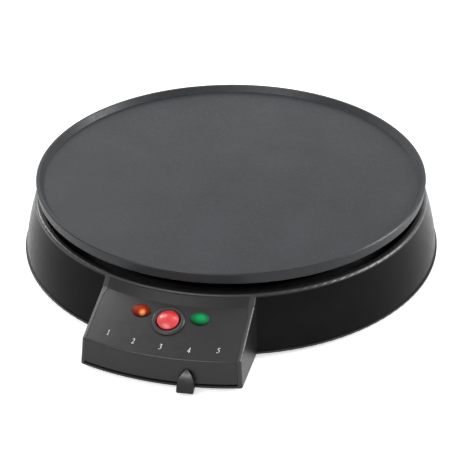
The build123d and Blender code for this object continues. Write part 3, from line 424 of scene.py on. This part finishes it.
# ---- Heat shield, spacers and plate screws ---------------------------------------------------
# A pressed disc of aluminised steel keeps the heat off the plastic deck. Three tubes hold the
# plate above it, and three long zinc-plated screws come up through them from below.
shield = sheet_metal("aluminised_steel", (0.62, 0.63, 0.64), 0.34, (1.0, 0.05, 1.0))
spangle_size = 7.0
spangle_tones = (0.5, 0.51, 0.52), (0.7, 0.7, 0.71)
spangle = shield.nodes.new("ShaderNodeTexVoronoi")
spangle.inputs["Scale"].default_value = 1.0 / spangle_size
shield.links.new(shield.place(), spangle.inputs["Vector"])
shield.paint(shield.colours(spangle.outputs["Color"], *spangle_tones, all_or_none))
shield.on("heat_shield", "fuse_clip")


def zinc(name, tone):
    """Bright zinc plate on steel with a faint bluish passivation and small stains."""
    made = Finish(name, tone, 0.3, 0.5, 1.0)
    made.paint(made.colours(made.noise(1.5, 4.0), tone, (0.55, 0.58, 0.62), (0.4, 0.75)))
    made.gloss(made.noise(0.8, 3.0), 0.22, 0.42)
    made.relief(made.noise(0.4, 3.0), 0.008, 0.4)
    return made


zinc_bright = zinc("zinc_bright", (0.68, 0.69, 0.7))
zinc_bright.on("plate_spacers", "plate_screws", "thermostat_bracket", "thermostat_screws")
zinc_bright.on("clamp_screws", "thermostat_spindle")

# ---- Thermostat and cut-out ------------------------------------------------------------------
# The thermostat is a pressed white ceramic block under the middle of the plate, with a turned
# brass bush and a bimetal strip. A thermal fuse in a small plated case lies beside it.
ceramic = Finish("pressed_ceramic", (0.72, 0.69, 0.62), 0.62, 0.4)
ceramic.paint(ceramic.colours(ceramic.noise(0.9, 6.0), (0.62, 0.58, 0.5), (0.8, 0.77, 0.71)))
ceramic.gloss(ceramic.noise(1.5, 3.0), 0.5, 0.75)
ceramic.relief(ceramic.noise(0.25, 3.0), 0.02, 0.5)
ceramic.on("thermostat_body")

brass = Finish("turned_brass", (0.7, 0.5, 0.22), 0.26, 0.5, 1.0)
brass.paint(brass.colours(brass.noise(2.0, 4.0), (0.58, 0.38, 0.15), (0.78, 0.58, 0.28)))
brass.gloss(brass.noise(1.0, 3.0), 0.2, 0.36)
brass.relief(brass.bands("Z", 1.2, 0.3), 0.02, 0.4)
brass.on("thermostat_bushing")

sheet_metal("bimetal_strip", (0.58, 0.5, 0.42), 0.32, (0.06, 1.0, 1.0)).on("bimetal_blade")

fuse_case = Finish("tinned_case", (0.6, 0.58, 0.52), 0.3, 0.5, 1.0)
fuse_case.paint(fuse_case.colours(fuse_case.noise(1.0, 5.0), (0.5, 0.47, 0.4), (0.7, 0.68, 0.63)))
fuse_case.gloss(fuse_case.noise(0.6, 3.0), 0.22, 0.45)
fuse_case.relief(fuse_case.noise(0.3, 2.0), 0.01, 0.4)
fuse_case.on("thermal_fuse")


# ---- Wiring ----------------------------------------------------------------------------------
# Single leads in braided sleeves run from the terminal block to the switch, the thermostat and
# the element. The block, the switch and the lamp holders are pale nylon.
def sleeve(name, tone, weave):
    """Lead in a braided sleeve: a fine diagonal weave with fluffed ends of yarn."""
    made = Finish(name, tone, 0.66, 0.35)
    yarn = made.bands("DIAGONAL", 1.0 / weave, 1.2)
    made.paint(made.colours(yarn, shade(tone, 0.7), tone, (0.1, 0.8)))
    made.gloss(made.noise(1.0, 3.0), 0.56, 0.8)
    made.relief(yarn, 0.05, 0.5)
    return made


sleeve("sleeve_blue", (0.05, 0.14, 0.42), 0.6).on("neutral_lead")
sleeve("sleeve_brown", (0.19, 0.075, 0.035), 0.6).on("live_lead")
sleeve("sleeve_white", (0.72, 0.71, 0.67), 0.6).on("switched_lead", "element_lead")
moulded("block_nylon", (0.6, 0.58, 0.52), 0.48, 0.45, 0.5, 0.015).on("terminal_block")
moulded("switch_white", (0.64, 0.63, 0.6), 0.45, 0.45, 0.5, 0.012).on("push_switch", "lamp_holders")

# ---- Control panel ---------------------------------------------------------------------------
# A separate charcoal moulding lies in the box: a sloping face with a rounded front edge and a
# skirt over the lever's slot. Its grain is finer and glossier than the ring's.
panel = moulded("panel_charcoal", (0.0115, 0.0115, 0.0122), 0.32, 0.42, 0.5, 0.0008)
panel.on("control_fascia")

# ---- Scale 1 to 5 ----------------------------------------------------------------------------
# The five settings are pad-printed in white ink on an arc that the lever sweeps. Each figure is
# an outline drawn in a box one high, with 1 at a corner and 0 along a curve. It is laid
# on the panel as a thin film.
figures = {
    "one": [[
        (0.10, 0.00, 1), (0.47, 0.00, 1), (0.47, 0.03, 1), (0.385, 0.05, 0), (0.345, 0.13, 0),
        (0.34, 0.20, 1), (0.34, 1.00, 1), (0.31, 1.00, 1), (0.09, 0.90, 1), (0.09, 0.87, 1),
        (0.17, 0.89, 0), (0.23, 0.85, 0), (0.24, 0.78, 1), (0.24, 0.18, 1), (0.23, 0.08, 0),
        (0.18, 0.04, 0), (0.10, 0.03, 1),
    ]],
    "two": [[
        (0.04, 0.00, 1), (0.46, 0.00, 1), (0.52, 0.21, 1), (0.485, 0.21, 1), (0.44, 0.135, 0),
        (0.36, 0.12, 1), (0.17, 0.12, 1), (0.34, 0.33, 0), (0.46, 0.53, 0), (0.485, 0.73, 0),
        (0.42, 0.92, 0), (0.27, 1.00, 0), (0.12, 0.93, 0), (0.04, 0.73, 1), (0.075, 0.72, 1),
        (0.13, 0.83, 0), (0.22, 0.885, 0), (0.33, 0.83, 0), (0.37, 0.68, 0), (0.33, 0.48, 0),
        (0.22, 0.28, 0), (0.04, 0.05, 1),
    ]],
    "three": [[
        (0.04, 0.79, 1), (0.11, 0.93, 0), (0.25, 1.00, 0), (0.39, 0.95, 0), (0.44, 0.81, 0),
        (0.40, 0.68, 0), (0.31, 0.59, 1), (0.42, 0.50, 0), (0.48, 0.34, 0), (0.44, 0.14, 0),
        (0.30, 0.01, 0), (0.13, -0.02, 0), (0.03, 0.03, 0), (0.03, 0.09, 0), (0.08, 0.11, 0),
        (0.16, 0.06, 0), (0.25, 0.05, 0), (0.35, 0.14, 0), (0.375, 0.30, 0), (0.33, 0.43, 0),
        (0.24, 0.50, 0), (0.15, 0.51, 1), (0.15, 0.54, 1), (0.26, 0.61, 0), (0.325, 0.75, 0),
        (0.29, 0.87, 0), (0.20, 0.90, 0), (0.12, 0.86, 0), (0.075, 0.78, 1),
    ]],
    "four": [[
        (0.30, 0.00, 1), (0.41, 0.00, 1), (0.41, 0.24, 1), (0.52, 0.24, 1), (0.52, 0.34, 1),
        (0.41, 0.34, 1), (0.41, 1.00, 1), (0.34, 1.00, 1), (0.01, 0.34, 1), (0.01, 0.24, 1),
        (0.30, 0.24, 1),
    ], [(0.30, 0.34, 1), (0.30, 0.83, 1), (0.065, 0.34, 1)]],
    "five": [[
        (0.15, 0.98, 1), (0.42, 0.98, 1), (0.485, 1.02, 1), (0.43, 0.86, 1), (0.18, 0.86, 1),
        (0.135, 0.72, 1), (0.29, 0.66, 0), (0.43, 0.52, 0), (0.47, 0.33, 0), (0.42, 0.13, 0),
        (0.28, 0.01, 0), (0.12, -0.02, 0), (0.02, 0.03, 0), (0.02, 0.09, 0), (0.07, 0.11, 0),
        (0.15, 0.06, 0), (0.24, 0.05, 0), (0.34, 0.14, 0), (0.37, 0.29, 0), (0.33, 0.45, 0),
        (0.22, 0.55, 0), (0.06, 0.58, 1),
    ]],
}
figure_height = 0.0039
figure_middle = (0.26, 0.5)
lean = 0.07
scale_radii = (0.1878, 0.1892, 0.1896, 0.1898, 0.1889)
scale_step = 6.0
middle_count = len(figures) // 2
above_panel = 0.06
ink_thickness = 0.00003
ink = Finish("white_ink", (0.78, 0.78, 0.77), 0.5, 0.35)
ink.paint(ink.colours(ink.noise(0.25, 3.0), (0.62, 0.62, 0.61), (0.82, 0.82, 0.81), (0.25, 0.5)))
ink.gloss(ink.noise(0.4, 2.0), 0.42, 0.6)
ink.relief(ink.noise(0.2, 2.0), 0.006, 0.5)
for count, (word, outlines) in enumerate(figures.items()):
    drawn = bpy.data.curves.new("scale_" + word, "CURVE")
    drawn.dimensions = "2D"
    drawn.fill_mode = "BOTH"
    drawn.resolution_u = 6
    for outline in outlines:
        line = drawn.splines.new("BEZIER")
        line.bezier_points.add(len(outline) - 1)
        line.use_cyclic_u = True
        for point, (x, y, corner) in zip(line.bezier_points, outline):
            sideways = x - figure_middle[0] + lean * y
            point.co = (sideways * figure_height, (y - figure_middle[1]) * figure_height, 0.0)
            point.handle_left_type = point.handle_right_type = "VECTOR" if corner else "AUTO"
    figure = bpy.data.objects.new("scale_" + word, drawn)
    scene.collection.objects.link(figure)
    bpy.ops.object.select_all(action="DESELECT")
    bpy.context.view_layer.objects.active = figure
    figure.select_set(True)
    bpy.ops.object.convert(target="MESH")
    angle = math.radians((count - middle_count) * scale_step)
    radius = scale_radii[count]
    spot = plate_axis + Vector((radius * math.sin(angle), -radius * math.cos(angle), above_panel))
    figure.data.transform(Matrix.Translation(spot))
    press = figure.modifiers.new("press", "SHRINKWRAP")
    press.target = node["control_fascia"]
    press.wrap_method = "PROJECT"
    press.use_project_z = True
    press.use_negative_direction = True
    press.use_positive_direction = False
    press.offset = ink_thickness
    bpy.ops.object.modifier_apply(modifier="press")
    thicken = figure.modifiers.new("thicken", "SOLIDIFY")
    thicken.thickness = ink_thickness
    thicken.offset = 1.0
    bpy.ops.object.modifier_apply(modifier="thicken")
    figure.data.materials.clear()
    figure.data.materials.append(ink.material)
    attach(figure, "base")

# ---- Button and its ring ---------------------------------------------------------------------
# A domed cap in red acrylic moves in a dark ring pressed into the panel. The cap has a satin
# face with a soft gloss over it, and its red is slightly cloudy.
ring = moulded("ring_graphite", (0.017, 0.0155, 0.0175), 0.38, 0.5, 0.4, 0.001)
ring.on("button_bezel")
cap = Finish("cap_red", (0.7, 0.03, 0.032), 0.32, 0.4)
cap.paint(cap.colours(cap.noise(4.0, 2.0), (0.64, 0.024, 0.028), (0.76, 0.038, 0.04)))
cap.gloss(cap.noise(1.5, 3.0), 0.28, 0.38)
cap.relief(cap.noise(2.5, 2.0), 0.01, 0.4)
cap.shader.inputs["Subsurface Weight"].default_value = 0.15
cap.shader.inputs["Subsurface Scale"].default_value = 0.002
cap.shader.inputs["Subsurface Radius"].default_value = (1.0, 0.2, 0.2)
cap.shader.inputs["Coat Weight"].default_value = 0.7
cap.shader.inputs["Coat Roughness"].default_value = 0.3
cap.on("power_button")


# ---- Lamps -----------------------------------------------------------------------------------
# Two almond lenses in tinted acrylic, red for heating and green for ready, each over a small
# neon bulb in a white holder. The red one is alight: its bulb glows through low on the right.
# The green one is not alight, yet it carries a weak painted glow inside.
def lens(name, deep, bright, glow_offset, glow_size, glow_colour, glow_power):
    """Tinted lens with moulded prisms, deeper at its rim; its glow is painted if the bulb is off.
    """
    half_long, half_short = 7.8, 4.8
    low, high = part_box(name)
    centre = (low + high) / 2.0
    made = Finish(name, deep, 0.3, 0.08)
    prisms = made.bands("X", 0.28, 0.8)
    outwards = made.length(made.place((1.0 / half_long, 1.0 / half_short, 0.0), centre))
    from_bulb = made.length(made.place((1.0, 1.0, 0.4), centre + Vector(glow_offset)))
    ridges = made.colours(prisms, shade(bright, 0.35), bright, (0.15, 0.85))
    made.paint(made.colours(outwards, ridges, deep, (0.25, 1.0)))
    made.gloss(made.noise(1.2, 2.0), 0.25, 0.36)
    made.relief(prisms, 0.06, 0.3)
    halo = made.colours(from_bulb, glow_colour, (0.0, 0.0, 0.0), (0.4, glow_size))
    made.feed(halo, "Emission Color")
    made.shader.inputs["Emission Strength"].default_value = glow_power
    made.on(name)


lens(
    "heating_lamp_lens", deep=(0.05, 0.003, 0.002), bright=(0.62, 0.04, 0.008),
    glow_offset=(0.0015, -0.0022, 0.0), glow_size=2.9,
    glow_colour=(1.0, 0.45, 0.12), glow_power=0.9,
)
# The ready lamp is off: the green lens's glow is painted light, a weak emission in the lens.
lens(
    "ready_lamp_lens", deep=(0.0, 0.03, 0.01), bright=(0.008, 0.42, 0.12),
    glow_offset=(0.0015, 0.0005, 0.0), glow_size=5.5,
    glow_colour=(0.02, 0.26, 0.08), glow_power=0.35,
)
bulb = Finish("neon_bulb", (0.75, 0.62, 0.5), 0.08, 0.5)
bulb.paint(bulb.colours(bulb.noise(1.5, 2.0), (0.8, 0.55, 0.38), (0.85, 0.8, 0.76)))
bulb.shader.inputs["Transmission Weight"].default_value = 0.7
bulb.on("neon_lamps")

# ---- Temperature lever -----------------------------------------------------------------------
# A flat steel arm on the thermostat's spindle comes out under the panel, and a pointed black
# thumb piece is pushed on its end. It swings along below the scale, from 1 to 5.
sheet_metal("arm_steel", (0.6, 0.6, 0.61), 0.34, (1.0, 0.05, 1.0)).on("lever_arm")
thumb = moulded("thumb_black", (0.011, 0.011, 0.012), 0.26, 0.34, 0.5, 0.0008)
thumb.on("temperature_lever")
